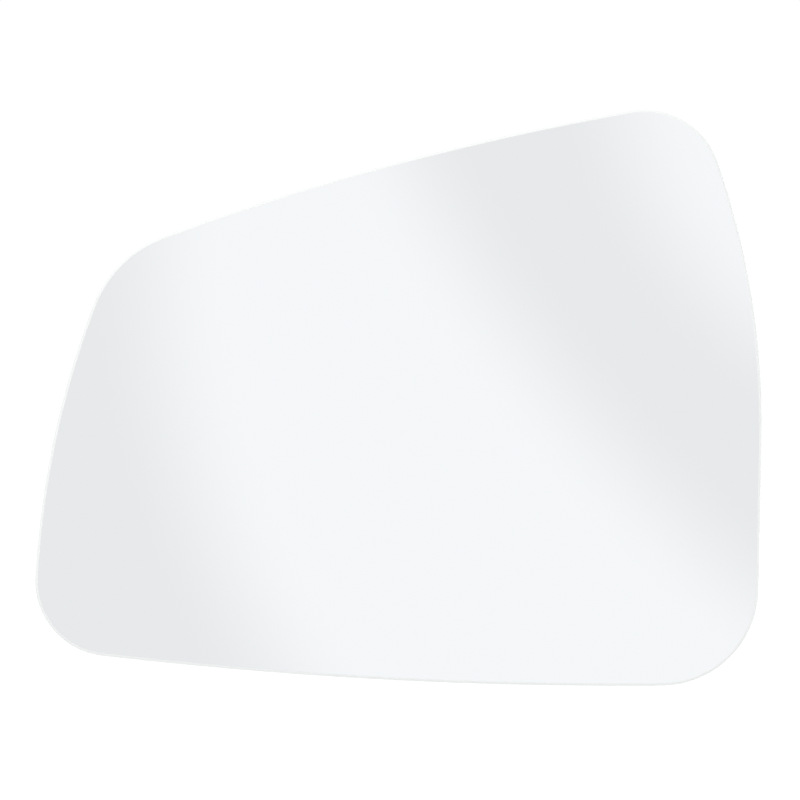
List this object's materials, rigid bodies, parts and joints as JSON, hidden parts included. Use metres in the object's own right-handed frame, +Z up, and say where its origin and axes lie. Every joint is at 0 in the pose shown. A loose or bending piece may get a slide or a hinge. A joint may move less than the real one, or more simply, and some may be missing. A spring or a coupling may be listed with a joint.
{
  "type": "car door mirror glass",
  "caption": "Convex glass for a car door mirror: a bent, silvered pane with bowed sides, rounded corners and a ground edge, bonded to the mirror's carrier by its back.",
  "frame": {"origin": "crown of the concave back face, behind the middle of the outline's box, where the pane is bonded to its carrier", "axes": "-Y is the way the mirror faces, +Y points out of its back, +X is to the right seen from the front, +Z is up as on the car"},
  "size_m": [0.1703, 0.0058, 0.135],
  "materials": {
    "mirror_glass": "polished"
  },
  "bodies": {
    "root": {"mirror_glass": "mirror_glass"}
  },
  "joints": []
}
